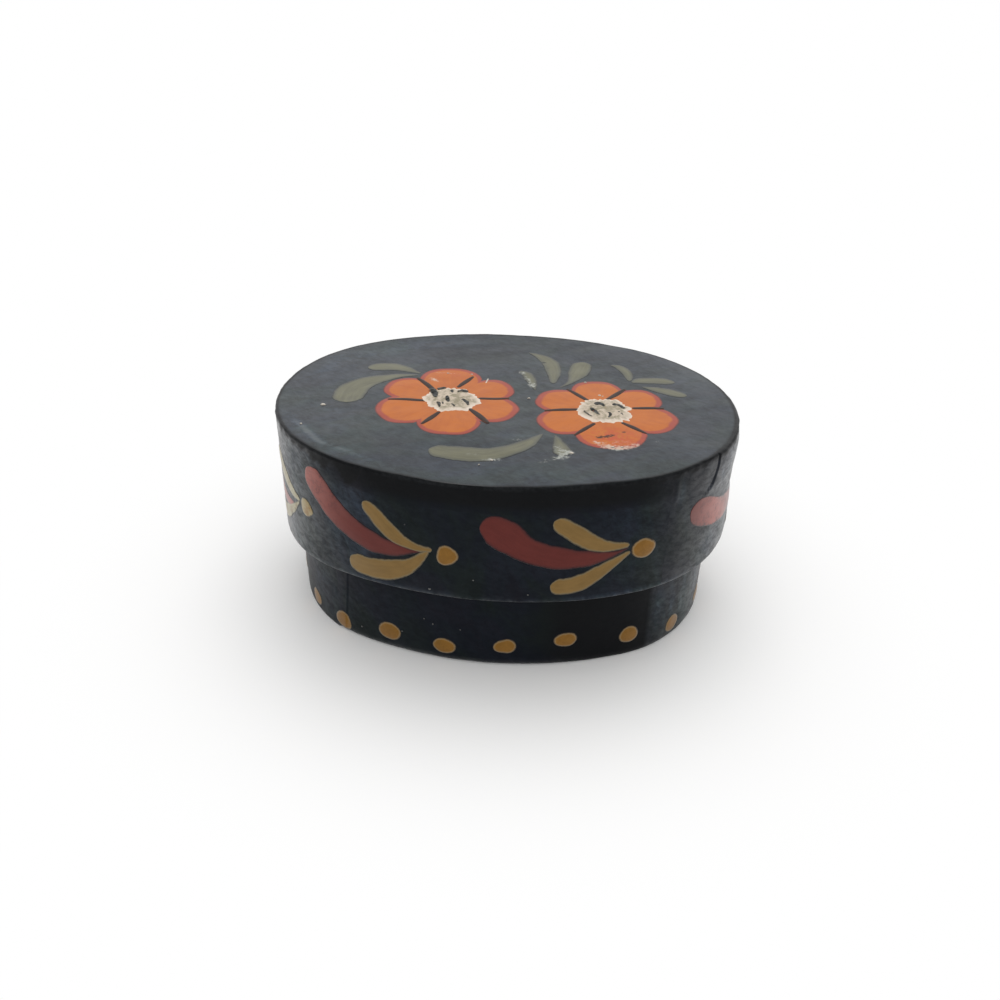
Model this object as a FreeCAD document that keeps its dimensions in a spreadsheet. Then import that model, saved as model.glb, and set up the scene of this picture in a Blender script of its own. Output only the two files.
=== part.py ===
import FreeCAD, Part
import Sketcher
import math
import os

# A small oval box of bent wood with a lift-off lid. The box and its lid are built alike: a thin
# strip is bent once round an oval board, its two thinned ends lie over each other, and wooden
# pegs driven through the strip hold it to the edge of the board. The lid's strip slips down over
# the box, and its board comes to rest on the rim.
#
# Frame: millimetres, X along the box, the front at -Y, Z up, origin under the middle of the box.

doc = FreeCAD.newDocument("oval_bentwood_box")
vector = FreeCAD.Vector
UP = vector(0, 0, 1)

# Driving dimensions, in millimetres and degrees
sizes = doc.addObject("Spreadsheet::Sheet", "Sizes")
DIMENSIONS = [
    # the outline over the outside of the lid's strip: an oval of two end arcs and two side arcs
    ("lid_length", 76.0),
    ("lid_width", 57.0),
    ("side_radius", 56.0),
    # heights
    ("base_height", 32.2),
    ("base_board_thickness", 3.0),
    ("lid_board_thickness", 3.0),
    ("lid_skirt_depth", 20.4),
    # walls, and the room left between them
    ("lid_band_thickness", 1.7),
    ("base_band_thickness", 1.6),
    ("lid_clearance", 0.7),
    ("board_clearance", 0.05),
    # laps: the normal at which the outer end of the strip stops, and how far it laps back
    ("lid_lap_angle", -34.5),
    ("lid_lap_length", 20.0),
    ("base_lap_angle", -119.5),
    ("base_lap_length", 18.0),
    ("lap_tip", 0.35),
    ("glue_line", 0.05),
    # edges
    ("rim_round", 1.2),
    ("edge_ease", 0.3),
    # pegs, and how high the row runs above the underside of its board
    ("peg_diameter", 1.2),
    ("peg_length", 6.0),
    ("base_peg_height", 1.5),
    ("lid_peg_height", 1.0),
    ("peg_recess", 0.2),
    ("peg_clearance", 0.03),
]
PEGS_PER_BOARD = 8
RIM_STROKES = 3
for row, (alias, value) in enumerate(DIMENSIONS, start=1):
    sizes.set("A%d" % row, alias.replace("_", " "))
    sizes.set("B%d" % row, str(value))
    sizes.setAlias("B%d" % row, alias)
doc.recompute()


def size(alias):
    return float(sizes.get(alias))


# The oval. Its arcs meet in common tangents, and an offset of it keeps the four centres, so that
# every wall is made of true arcs and the walls stay parallel.
half_length = size("lid_length") / 2
half_width = size("lid_width") / 2
side_radius = size("side_radius")
end_radius = (2 * side_radius * half_width - half_length**2 - half_width**2) / (
    2 * (side_radius - half_length)
)
end_centre = half_length - end_radius
side_centre = side_radius - half_width
junction = math.degrees(math.atan2(side_centre, end_centre))

# How far each surface lies inside the lid's outline
lid_inner = size("lid_band_thickness")
base_outer = lid_inner + size("lid_clearance")
base_inner = base_outer + size("base_band_thickness")

# The same as expressions on the sheet, which the sketches of the boards are bound to
END_RADIUS = (
    "(Sizes.side_radius * Sizes.lid_width - Sizes.lid_length ^ 2 / 4 - Sizes.lid_width ^ 2 / 4)"
    " / (2 * Sizes.side_radius - Sizes.lid_length)"
)
LID_BOARD_INSET = "(Sizes.lid_band_thickness + Sizes.board_clearance)"
BASE_BOARD_INSET = (
    "(Sizes.lid_band_thickness + Sizes.lid_clearance + Sizes.base_band_thickness"
    " + Sizes.board_clearance)"
)

# How far a tool that cuts a strip reaches past it, clear of the swelling of its lap
spare = 3 * (size("lap_tip") + size("glue_line"))
SPARE = "3 * (Sizes.lap_tip + Sizes.glue_line)"

rim_height = size("base_height")
total_height = rim_height + size("lid_board_thickness")
skirt_height = total_height - size("lid_skirt_depth")


def oval_arc(angle):
    """Centre and radius of the arc of the oval whose outward normal points along this angle."""
    turn = (angle + 180) % 360 - 180
    if abs(turn) < junction:
        return vector(end_centre, 0, 0), end_radius
    if abs(turn) > 180 - junction:
        return vector(-end_centre, 0, 0), end_radius
    return vector(0, math.copysign(side_centre, -turn), 0), side_radius


def outward(angle):
    return vector(math.cos(math.radians(angle)), math.sin(math.radians(angle)), 0)


def arc_stops(start, end):
    """The start and end normals with those of the junctions between them, in order."""
    low, high = min(start, end), max(start, end)
    joints = [turn * 180 + side * junction for turn in range(-6, 7) for side in (-1, 1)]
    stops = [low] + sorted(j for j in joints if low + 0.01 < j < high - 0.01) + [high]
    return stops if start < end else stops[::-1]


def oval_run(start, end, start_offset, end_offset):
    """Arcs, each as three points, from one normal to another. The offset from the lid's outline
    changes evenly on the way, which is how a thinned end runs."""
    stops = arc_stops(start, end)
    arcs = []
    for first, last in zip(stops, stops[1:]):
        middle = (first + last) / 2
        centre, radius = oval_arc(middle)
        points = []
        for angle in (first, middle, last):
            share = (angle - start) / (end - start)
            offset = start_offset + share * (end_offset - start_offset)
            points.append(centre + outward(angle) * (radius + offset))
        arcs.append(points)
    return arcs


def lapped_strip(outer_inset, thickness, lap_angle, lap_length, way, bottom, height):
    """A strip bent once round the oval. Its outer end stops at the lap angle, over its inner end,
    which runs on below it and thins out to a tip. Way is +1 where the lap runs counter-clockwise
    from the end that shows, seen from above, and -1 where it runs clockwise."""
    tip = size("lap_tip")
    glue = size("glue_line")
    outer = -outer_inset
    inner = outer - thickness
    wall_radius = end_radius - outer_inset
    lap_end = lap_angle + way * math.degrees(lap_length / wall_radius)
    inner_end = lap_end - way * math.degrees(glue / wall_radius)
    full_turn = way * 360
    arcs = oval_run(lap_angle, lap_end, outer + glue + tip, outer)
    arcs += oval_run(lap_end, lap_angle + full_turn, outer, outer)
    arcs += oval_run(lap_angle, inner_end, outer, inner + tip)
    arcs += oval_run(inner_end + full_turn, lap_end, inner, inner)
    arcs += oval_run(lap_end, lap_angle, inner + tip + glue, outer + glue)
    edges = []
    for arc, following in zip(arcs, arcs[1:] + arcs[:1]):
        edges.append(Part.Arc(*arc).toShape())
        if arc[2].distanceToPoint(following[0]) > 1e-6:
            edges.append(Part.LineSegment(arc[2], following[0]).toShape())
    plan = Part.Face(Part.Wire(edges))
    plan.translate(UP * bottom)
    return plan.extrude(UP * height)


def oval_ring(corners):
    """Solids that carry a polygon once round the oval, one for each arc. A corner is an offset from
    the lid's outline and a height."""
    stops = arc_stops(-junction, 360 - junction)
    solids = []
    for first, last in zip(stops, stops[1:]):
        centre, radius = oval_arc((first + last) / 2)
        places = [centre + outward(first) * (radius + offset) + UP * z for offset, z in corners]
        face = Part.Face(Part.makePolygon(places + places[:1]))
        solids.append(face.revolve(centre, UP, last - first))
    return solids


def rounded_rim(edge, top, radius):
    """What is planed off the outer top edge of a strip, in a few strokes that go round it."""
    corners = []
    for stroke in range(RIM_STROKES + 1):
        turn = math.radians(90 * stroke / RIM_STROKES)
        corners.append((edge - radius * (1 - math.sin(turn)), top - radius * (1 - math.cos(turn))))
    last_slope = math.tan(math.radians(90 - 45 / RIM_STROKES))
    corners.append((edge + spare, top - radius - spare * last_slope))
    corners.append((edge + spare, top + spare))
    corners.append((edge - radius, top + spare))
    return oval_ring(corners)


def eased_edge(edge, height, out, up, ease):
    """What is planed off one sharp edge of a strip. Out is +1 on the outside of the strip and -1 on
    its inside, and up is +1 on its top edge and -1 on its bottom edge."""
    return oval_ring(
        [
            (edge - out * ease, height),
            (edge, height - up * ease),
            (edge + out * spare, height - up * (ease + spare)),
            (edge + out * spare, height + up * spare),
            (edge - out * ease, height + up * spare),
        ]
    )


def placed_feature(name, shape):
    feature = doc.addObject("Part::Feature", name)
    feature.Shape = shape
    feature.Placement = FreeCAD.Placement()
    return feature


def origin_plane(body, role):
    return next(item for item in body.Origin.OriginFeatures if item.Role == role)


def oval_board(name, inset, inset_expression, thickness_alias, height_expression):
    """A flat board with the oval's outline, moved inwards by the inset."""
    body = doc.addObject("PartDesign::Body", name)
    sketch = body.newObject("Sketcher::SketchObject", name + "_outline")
    sketch.AttachmentSupport = [(origin_plane(body, "XY_Plane"), "")]
    sketch.MapMode = "FlatFace"
    right, back, left, front = range(4)
    stops = arc_stops(-junction, 360 - junction)
    for first, last in zip(stops, stops[1:]):
        centre, radius = oval_arc((first + last) / 2)
        circle = Part.Circle(centre, UP, radius - inset)
        arc = Part.ArcOfCircle(circle, math.radians(first), math.radians(last))
        sketch.addGeometry(arc, False)
    for arc, following in ((right, back), (back, left), (left, front), (front, right)):
        sketch.addConstraint(Sketcher.Constraint("Tangent", arc, 2, following, 1))
    sketch.addConstraint(Sketcher.Constraint("PointOnObject", right, 3, -1))
    sketch.addConstraint(Sketcher.Constraint("Symmetric", right, 3, left, 3, -1, 1))
    sketch.addConstraint(Sketcher.Constraint("Equal", right, left))
    sketch.addConstraint(Sketcher.Constraint("Equal", back, front))
    bound = [
        ("DistanceX", (-1, 1, right, 3), end_centre, "Sizes.lid_length / 2 - " + END_RADIUS),
        ("Radius", (right,), end_radius - inset, END_RADIUS + " - " + inset_expression),
        ("Radius", (back,), side_radius - inset, "Sizes.side_radius - " + inset_expression),
    ]
    for kind, places, value, expression in bound:
        index = sketch.addConstraint(Sketcher.Constraint(kind, *places, value))
        sketch.setExpression("Constraints[%d]" % index, expression)
    pad = body.newObject("PartDesign::Pad", name + "_pad")
    pad.Profile = sketch
    pad.setExpression("Length", "Sizes." + thickness_alias)
    body.setExpression("Placement.Base.z", height_expression)
    return body


def peg_normals():
    """The normals of points spaced evenly along the lid's outline."""
    stops = arc_stops(-90, 270)
    spans = []
    for first, last in zip(stops, stops[1:]):
        radius = oval_arc((first + last) / 2)[1]
        spans.append((first, radius, radius * math.radians(last - first)))
    step = sum(length for _, _, length in spans) / PEGS_PER_BOARD
    normals = []
    for peg in range(PEGS_PER_BOARD):
        run = (peg + 0.5) * step
        for first, radius, length in spans:
            if run <= length:
                break
            run -= length
        normals.append(first + math.degrees(run / radius))
    return normals


def peg_row(name, outer_inset, middle_height, hole):
    """A peg at each of the normals, pointing inwards from just under the strip's outside, or the
    hole for it, which opens at the outside of the strip."""
    start = outer_inset - spare if hole else outer_inset + size("peg_recess")
    links = []
    for peg, angle in enumerate(peg_normals()):
        centre, radius = oval_arc(angle)
        cylinder = doc.addObject("Part::Cylinder", "%s_%d" % (name, peg))
        place = centre + outward(angle) * (radius - start) + UP * middle_height
        turn = FreeCAD.Rotation(UP, outward(angle) * -1)
        cylinder.Placement = FreeCAD.Placement(place, turn)
        if hole:
            cylinder.setExpression("Radius", "Sizes.peg_diameter / 2 + Sizes.peg_clearance")
            depth = "Sizes.peg_recess + Sizes.peg_length + Sizes.peg_clearance + " + SPARE
            cylinder.setExpression("Height", depth)
        else:
            cylinder.setExpression("Radius", "Sizes.peg_diameter / 2")
            cylinder.setExpression("Height", "Sizes.peg_length")
        links.append(cylinder)
    row = doc.addObject("Part::Compound", name)
    row.Links = links
    return row


def bored(name, blank, holes):
    piece = doc.addObject("Part::Cut", name)
    piece.Base = blank
    piece.Tool = holes
    return piece


# The box
base_pegs = peg_row("base_pegs", base_outer, size("base_peg_height"), hole=False)
base_holes = peg_row("base_peg_holes", base_outer, size("base_peg_height"), hole=True)
base_strip = lapped_strip(
    base_outer,
    size("base_band_thickness"),
    size("base_lap_angle"),
    size("base_lap_length"),
    -1,
    0,
    rim_height,
)
ease = size("edge_ease")
base_strip = base_strip.cut(
    eased_edge(-base_outer, rim_height, 1, 1, ease) + eased_edge(-base_inner, rim_height, -1, 1, ease)
)
base_band = bored("base_band", placed_feature("base_strip", base_strip), base_holes)
base_blank = oval_board(
    "base_board_blank",
    base_inner + size("board_clearance"),
    BASE_BOARD_INSET,
    "base_board_thickness",
    "0 mm",
)
base_board = bored("base_board", base_blank, base_holes)

# The lid
lid_peg_row = rim_height + size("lid_peg_height")
lid_pegs = peg_row("lid_pegs", 0, lid_peg_row, hole=False)
lid_holes = peg_row("lid_peg_holes", 0, lid_peg_row, hole=True)
lid_strip = lapped_strip(
    0,
    size("lid_band_thickness"),
    size("lid_lap_angle"),
    size("lid_lap_length"),
    1,
    skirt_height,
    size("lid_skirt_depth"),
)
lid_strip = lid_strip.cut(
    rounded_rim(0, total_height, size("rim_round"))
    + eased_edge(0, skirt_height, 1, -1, ease)
    + eased_edge(-lid_inner, skirt_height, -1, -1, ease)
)
lid_band = bored("lid_band", placed_feature("lid_strip", lid_strip), lid_holes)
lid_blank = oval_board(
    "lid_board_blank",
    lid_inner + size("board_clearance"),
    LID_BOARD_INSET,
    "lid_board_thickness",
    "Sizes.base_height * 1 mm",
)
lid_board = bored("lid_board", lid_blank, lid_holes)

doc.recompute()

for item in doc.Objects:
    if "Invalid" in item.State or "Error" in item.State:
        raise RuntimeError("%s did not recompute: %s" % (item.Name, item.State))

SUBPARTS = {
    "base_band": (base_band, 1),
    "base_board": (base_board, 1),
    "base_pegs": (base_pegs, PEGS_PER_BOARD),
    "lid_band": (lid_band, 1),
    "lid_board": (lid_board, 1),
    "lid_pegs": (lid_pegs, PEGS_PER_BOARD),
}
os.makedirs("parts", exist_ok=True)
for node, (piece, solids) in SUBPARTS.items():
    piece.Label = node
    shape = piece.Shape
    if shape.isNull() or not shape.isValid() or len(shape.Solids) != solids:
        raise RuntimeError("%s is not %d valid solids" % (node, solids))
    box = shape.BoundBox
    print("%-11s %d solid(s) %9.1f mm3  x %6.2f %6.2f  y %6.2f %6.2f  z %6.2f %6.2f" % (
        node, solids, shape.Volume, box.XMin, box.XMax, box.YMin, box.YMax, box.ZMin, box.ZMax))
for node, (piece, solids) in SUBPARTS.items():
    piece.Shape.exportStep("parts/%s.step" % node)
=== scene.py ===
import math

import bpy
import numpy as np
from mathutils import Matrix, Vector


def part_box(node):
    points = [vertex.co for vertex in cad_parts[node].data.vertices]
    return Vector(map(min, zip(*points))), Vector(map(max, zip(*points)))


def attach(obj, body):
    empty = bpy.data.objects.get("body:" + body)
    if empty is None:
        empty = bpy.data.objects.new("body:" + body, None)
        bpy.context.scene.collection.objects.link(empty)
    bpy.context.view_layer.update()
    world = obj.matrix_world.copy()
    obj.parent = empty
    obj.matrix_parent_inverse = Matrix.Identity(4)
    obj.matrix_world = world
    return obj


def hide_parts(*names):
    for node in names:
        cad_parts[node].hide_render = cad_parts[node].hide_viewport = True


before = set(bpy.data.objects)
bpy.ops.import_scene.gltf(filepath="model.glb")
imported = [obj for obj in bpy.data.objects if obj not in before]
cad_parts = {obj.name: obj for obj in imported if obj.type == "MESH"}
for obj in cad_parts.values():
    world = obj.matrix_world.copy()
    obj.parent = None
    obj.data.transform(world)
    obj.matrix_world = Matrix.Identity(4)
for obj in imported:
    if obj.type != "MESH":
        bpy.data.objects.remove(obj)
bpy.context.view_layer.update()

# A small oval box of bent wood with a lift-off lid, painted dark, with flowers and leaves on the
# lid, comma strokes round its wall and a row of dots round the foot. Lengths are in millimetres
# and become metres where a mesh is written. A place on a wall is a run, measured along the lid's
# outline from the middle of the front towards +X, and a height.

mm = 0.001
scene = bpy.context.scene
scene.view_settings.view_transform = "Standard"


# The frame's sizes

# The low and high corner of a node's box, in millimetres
def nodeBox(node):
    low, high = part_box(node)
    return low / mm, high / mm


lidBandLow, lidBandHigh = nodeBox("lid_band")
baseBandHigh = nodeBox("base_band")[1]
lidBoardLow, lidBoardHigh = nodeBox("lid_board")
baseBoardHigh = nodeBox("base_board")[1]

halfLength = -lidBandLow.x
halfWidth = lidBandHigh.y
sideRadius = 56
topHeight = lidBandHigh.z
skirtHeight = lidBandLow.z
rimHeight = baseBandHigh.z
boardGap = 0.05
lidBoardInset = halfLength - lidBoardHigh.x
lidInnerInset = lidBoardInset - boardGap
baseOuterInset = halfLength - baseBandHigh.x
baseBoardInset = halfLength - baseBoardHigh.x
baseInnerInset = baseBoardInset - boardGap

# The oval's four arcs: their radii and centres, and the runs and normals at which they meet
endRadius = (2 * sideRadius * halfWidth - halfLength**2 - halfWidth**2) / 2 / (sideRadius - halfLength)
endCentre = halfLength - endRadius
sideCentre = sideRadius - halfWidth
junction = math.atan2(sideCentre, endCentre)
sideRun = sideRadius * (math.pi / 2 - junction)
endRun = endRadius * junction
perimeter = 4 * (sideRun + endRun)
stopRuns = np.cumsum([0, sideRun, 2 * endRun, 2 * sideRun, 2 * endRun, sideRun])
stopTurns = [-math.pi / 2, -junction, junction, math.pi - junction, math.pi + junction, 1.5 * math.pi]


# The point of the outline at each run, moved inwards by the inset along the outline's normal
def ovalPoint(run, inset):
    turn = np.interp(np.mod(run, perimeter), stopRuns, stopTurns)
    onEnd = np.abs(np.cos(turn)) > math.cos(junction)
    radius = np.where(onEnd, endRadius, sideRadius) - inset
    x = np.where(onEnd, np.sign(np.cos(turn)) * endCentre, 0) + radius * np.cos(turn)
    y = np.where(onEnd, 0, -np.sign(np.sin(turn)) * sideCentre) + radius * np.sin(turn)
    return x, y


# A run brought to within half a round of the middle of the front
def centred(run):
    return np.mod(run + perimeter / 2, perimeter) - perimeter / 2


# Numbers that vary over a surface

# 0 below the first edge, 1 above the second, a smooth S between them
def smooth(value, first, second):
    share = np.clip((value - first) / (second - first), 0, 1)
    return share * share * (3 - 2 * share)


# A bell: 1 at the middle, falling off over the half width on both sides
def bell(value, middle, half):
    return np.exp(-((value - middle) / half) ** 2)


# A sum of cosines in random directions, of random wavelengths between two bounds, scaled to a
# spread of about 1
def waves(x, y, z, seed, shortest, longest, count=14):
    dice = np.random.default_rng(seed)
    total = np.zeros(np.broadcast(x, y, z).shape)
    for wave in range(count):
        way = dice.normal(size=3)
        length = np.exp(dice.uniform(math.log(shortest), math.log(longest)))
        way *= 2 * math.pi / np.linalg.norm(way) / length
        total += np.cos(x * way[0] + y * way[1] + z * way[2] + dice.uniform(0, 2 * math.pi))
    return total / math.sqrt(count / 2)


# The waves that the hand left on a surface, broad and fine
def handWork(x, y, z, surface):
    return sum(height * waves(x, y, z, *draws) for height, *draws in handMarks[surface])


# A smooth curve through the knots, passed at an even pace, at each share of its way
def throughKnots(knots, shares):
    knots = np.asarray(knots, float)
    steps = np.linalg.norm(np.diff(knots[:, :2], axis=0), axis=1)
    place = np.interp(shares, np.append(0, np.cumsum(steps)) / steps.sum(), np.arange(len(knots)))
    first = np.minimum(place.astype(int), len(knots) - 2)
    part = (place - first)[:, None]
    padded = np.vstack([2 * knots[0] - knots[1], knots, 2 * knots[-1] - knots[-2]])
    a, b, c, d = (padded[first + shift] for shift in range(4))
    bent = (2 * a - 5 * b + 4 * c - d) * part**2 + (3 * b - a - 3 * c + d) * part**3
    return 0.5 * (2 * b + (c - a) * part + bent), steps.sum()


# The walls and the top as the hand left them

# Each surface's waves: their height, their seed and the bounds of their lengths
handMarks = {
    "lid": ((0.07, 11, 16, 60), (0.015, 12, 3, 8)),
    "base": ((0.06, 21, 16, 60), (0.012, 22, 3, 8)),
    "top": ((0.06, 31, 14, 50), (0.012, 32, 3, 7)),
}
topSink = 0.06    # how far the top is lowered under its waves
lidLap = {
    # where the outer end of the lid's strip stops: runs at falling heights, curving back and fading
    "heights": (28.6, 29.4, 30.2, 31.6, 33.4, 35.2),
    "runs": (34.4, 35.5, 36.5, 37.2, 37.6, 37.8),
    "length": 27,    # how far round the step tapers away
    "rise": 0.19,
    "slope": 0.42,    # the width of the step
    "crack": {"depth": 0.015, "past": -0.12, "half": 0.14},
    "fadeFrom": 30,
    "fadeTo": 28.2,
    "leftBelow": 0.02,    # the share of the rise that is left below the fade
    "ridge": {"run": 28.8, "low": 29.4, "high": 33.2, "ease": 0.8, "half": 0.5, "height": 0.05},
}
baseLap = {
    "run": -25.3,
    "lean": 0.11,
    "length": 18,
    "rise": 0.11,
    "slope": 0.45,
    "height": 11,
    "ridge": {"run": 28.4, "half": 0.6, "height": 0.04},
    "foot": {"wear": 0.5, "height": 0.55, "half": 36},    # how the lower edge is worn at the front
}
lapShape = {"from": -0.05, "fading": 1.3}
rimChips = {"depth": 0.035, "reach": 1.3, "shortest": 1.2, "longest": 5}
# The lid's right end stands out a little, most near its foot, and its left end hangs lower
rightBulge = {
    "run": 49,
    "half": 13,
    "heights": (13.9, 17, 21, 25, 29, 33, 35.2),
    "swell": (0.3, 0.55, 0.42, 0.1, 0.2, 0.42, 0.15),
}
skirtDroop = {
    "runs": (-60, -46, -37, -24, -12, 25, 42, 60),
    "drop": (0, 0.8, 0.85, 0.3, 0, 0, -0.25, 0),
    "height": 9,    # how far up the skirt it reaches
}


# How far a lap's step stands out, by the distance past the strip's outer end: the rise, times a
# smooth S over the slope, times a share that falls from 1 to 0 over the length
def lapStep(lap, past):
    taper = np.clip(1 - past / lap["length"], 0, 1) ** lapShape["fading"]
    return lap["rise"] * smooth(past, lapShape["from"], lap["slope"]) * taper


# How far each wall stands out from its true oval: the sum of its waves, the lap's step and an
# upright ridge, and on the lid the chips along the rim and the bulge, less the worn foot on the base
def lidSwell(run, z):
    x, y = ovalPoint(run, 0)
    nearRim = smooth(z, topHeight - rimChips["reach"], topHeight)
    chips = waves(x, y, z, 13, rimChips["shortest"], rimChips["longest"])
    uneven = handWork(x, y, z, "lid") + rimChips["depth"] * nearRim * chips
    past = centred(run - np.interp(z, lidLap["heights"], lidLap["runs"]))
    left = lidLap["leftBelow"]
    strength = left + (1 - left) * smooth(z, lidLap["fadeTo"], lidLap["fadeFrom"])
    crack = lidLap["crack"]["depth"] * bell(past, lidLap["crack"]["past"], lidLap["crack"]["half"])
    ridge = lidLap["ridge"]
    low, high, ease = ridge["low"], ridge["high"], ridge["ease"]
    along = smooth(z, low, low + ease) * (1 - smooth(z, high, high + ease))
    line = ridge["height"] * along * bell(run, ridge["run"], ridge["half"])
    nearEnd = bell(run, rightBulge["run"], rightBulge["half"])
    bulge = nearEnd * np.interp(z, rightBulge["heights"], rightBulge["swell"])
    return uneven + strength * lapStep(lidLap, past) - strength**3 * crack + line + bulge


def baseSwell(run, z):
    x, y = ovalPoint(run, 0)
    past = centred(baseLap["run"] - baseLap["lean"] * (baseLap["height"] - z) - run)
    ridge = baseLap["ridge"]
    line = ridge["height"] * bell(run, ridge["run"], ridge["half"])
    foot = baseLap["foot"]
    worn = foot["wear"] * np.exp(-((z / foot["height"]) ** 2) - (run / foot["half"]) ** 2)
    return handWork(x, y, z, "base") + lapStep(baseLap, past) + line - worn


# How far the top stands above its true height: its waves, less the sink
def topLift(x, y):
    return handWork(x, y, 0, "top") - topSink


# Places that lie the lift above the lid's wall, the base's wall and the top
def onLidWall(run, z, lift):
    x, y = ovalPoint(run, -lidSwell(run, z) - lift)
    return np.stack([x, y, z + 0 * x], axis=-1)


def onBaseWall(run, z, lift):
    x, y = ovalPoint(run, baseOuterInset - baseSwell(run, z) - lift)
    return np.stack([x, y, z + 0 * x], axis=-1)


def onLidTop(x, y, lift):
    return np.stack([x, y, topHeight + topLift(x, y) + lift], axis=-1)


# Meshes

# A closed surface on a grid whose rows are closed rings. The first and last rows either meet
# each other or are single points. The grid has its place, its flat coordinates with one more
# column than the rings have points, and any other values, all as arrays.
def shell(grid, flat, closedBy, **values):
    rows, columns = grid.shape[:2]
    if closedBy == "points":
        inner = np.arange(1, 1 + (rows - 2) * columns).reshape(rows - 2, columns)
        last = np.full((1, columns), inner[-1, -1] + 1)
        number = np.vstack([np.zeros((1, columns), int), inner, last])
        keep = np.concatenate([[0], np.arange(columns, (rows - 1) * columns), [rows * columns - 1]])
    else:
        number = np.arange(rows * columns).reshape(rows, columns)
        keep = np.arange(rows * columns)
        number = np.vstack([number, number[:1]])
    points = grid.reshape(-1, 3)[keep]
    right = np.roll(number, -1, axis=1)
    corners = np.stack([number[:-1], right[:-1], right[1:], number[1:]], axis=-1)
    places = np.stack([flat[:-1, :-1], flat[:-1, 1:], flat[1:, 1:], flat[1:, :-1]], axis=2)
    if closedBy == "points":
        faces = [
            (corners[1:-1].reshape(-1, 4), places[1:-1].reshape(-1, 4, 2)),
            (corners[0][:, [0, 2, 3]], places[0][:, [0, 2, 3]]),
            (corners[-1][:, [0, 1, 2]], places[-1][:, [0, 1, 2]]),
        ]
    else:
        faces = [(corners.reshape(-1, 4), places.reshape(-1, 4, 2))]
    volume = 0
    for face, _ in faces:
        for last in range(2, face.shape[1]):
            a, b, c = points[face[:, 0]], points[face[:, last - 1]], points[face[:, last]]
            volume += np.einsum("ij,ij->", a, np.cross(b, c))
    if volume < 0:
        faces = [(face[:, ::-1], place[:, ::-1]) for face, place in faces]
    spread = {name: np.broadcast_to(value, (rows, columns)).ravel()[keep] for name, value in values.items()}
    return {"points": points, "faces": faces, "values": spread}


# Soft patches: each has its middle, its half sizes, its turn in degrees and its strength
def patches(spots, u, v):
    total = np.zeros(np.broadcast(u, v).shape)
    for uMiddle, vMiddle, uHalf, vHalf, turn, strength in spots:
        c, s = math.cos(math.radians(turn)), math.sin(math.radians(turn))
        along = ((u - uMiddle) * c + (v - vMiddle) * s) / uHalf
        across = ((v - vMiddle) * c - (u - uMiddle) * s) / vHalf
        total = total + strength * np.exp(-along**2 - across**2)
    return total


# An object with that content, put in the scene
def linked(name, content):
    made = bpy.data.objects.new(name, content)
    scene.collection.objects.link(made)
    return made


# One piece from several shells. Its marks are patches on the plan, each kept under its name.
def addPiece(name, body, material, shells, replaces=(), marks={}):
    points = np.concatenate([part["points"] for part in shells])
    starts = np.cumsum([0] + [len(part["points"]) for part in shells])
    corners, places, sizes = [], [], []
    for part, start in zip(shells, starts):
        for face, place in part["faces"]:
            corners.append((face + start).ravel())
            places.append(place.reshape(-1, 2))
            sizes.append(np.full(len(face), face.shape[1]))
    corners = np.concatenate(corners)
    sizes = np.concatenate(sizes)
    mesh = bpy.data.meshes.new(name)
    mesh.vertices.add(len(points))
    mesh.vertices.foreach_set("co", (points * mm).ravel())
    mesh.loops.add(len(corners))
    mesh.loops.foreach_set("vertex_index", corners)
    mesh.polygons.add(len(sizes))
    mesh.polygons.foreach_set("loop_start", np.cumsum(sizes) - sizes)
    mesh.polygons.foreach_set("use_smooth", np.ones(len(sizes), bool))
    mesh.update(calc_edges=True)
    mesh.uv_layers.new(name="flat").uv.foreach_set("vector", np.concatenate(places).ravel())
    for value in shells[0]["values"]:
        column = np.concatenate([part["values"][value] for part in shells])
        mesh.attributes.new(value, "FLOAT", "POINT").data.foreach_set("value", column)
    for mark, spots in marks.items():
        column = patches(spots, points[:, 0], points[:, 1])
        mesh.attributes.new(mark, "FLOAT", "POINT").data.foreach_set("value", column)
    piece = linked(name, mesh)
    mesh.materials.append(material)
    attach(piece, body)
    if replaces:
        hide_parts(*replaces)
    print("piece", name, len(points), "points")
    return piece


# Paint laid on a surface: a low closed body whose lower side is sunk in the surface

# A stroke is thinner where it is narrower than its full half width. Bodies of one piece have their
# flat coordinates apart.
laid = {"sunk": 0.12, "fullHalf": 0.4, "sharpestEnd": 0.05, "apart": 50}

# A stroke of the brush. Its knots are places on the surface with half widths, from the blunt
# head to the tail; both ends are rounded off to the half width there.
def brushStroke(knots, onto, film, seed, rings=60, around=20, wobble=0.02):
    shares = 0.5 - 0.5 * np.cos(np.linspace(0, math.pi, rings))
    line, length = throughKnots(knots, shares)
    dice = np.random.default_rng(seed)
    half = line[:, 2] * (1 + wobble * waves(shares * length, 0, 0, dice.integers(9999), 2, 6, 6))
    for endHalf, distance in ((knots[0][2], shares * length), (knots[-1][2], (1 - shares) * length)):
        inCap = np.clip(distance / max(endHalf, laid["sharpestEnd"]), 0, 1)
        half = half * np.sqrt(np.clip(1 - (1 - inCap) ** 2, 0, 1))
    way = np.gradient(line[:, :2], axis=0)
    way /= np.linalg.norm(way, axis=1)[:, None]
    angle = np.linspace(0, 2 * math.pi, around, endpoint=False)
    side = np.cos(angle)[None, :] * half[:, None]
    thick = np.where(np.sin(angle) > 0, film, laid["sunk"]) * np.sin(angle)
    lift = thick * np.minimum(half / laid["fullHalf"], 1)[:, None]
    u = line[:, None, 0] - way[:, None, 1] * side
    v = line[:, None, 1] + way[:, None, 0] * side
    wide = np.concatenate([side, side[:, :1]], axis=1)
    flat = np.stack([np.broadcast_to((shares * length)[:, None], wide.shape), wide], axis=-1)
    return shell(onto(u, v, lift), flat + laid["apart"] * seed, "points", edge=half[:, None] - np.abs(side))


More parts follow.
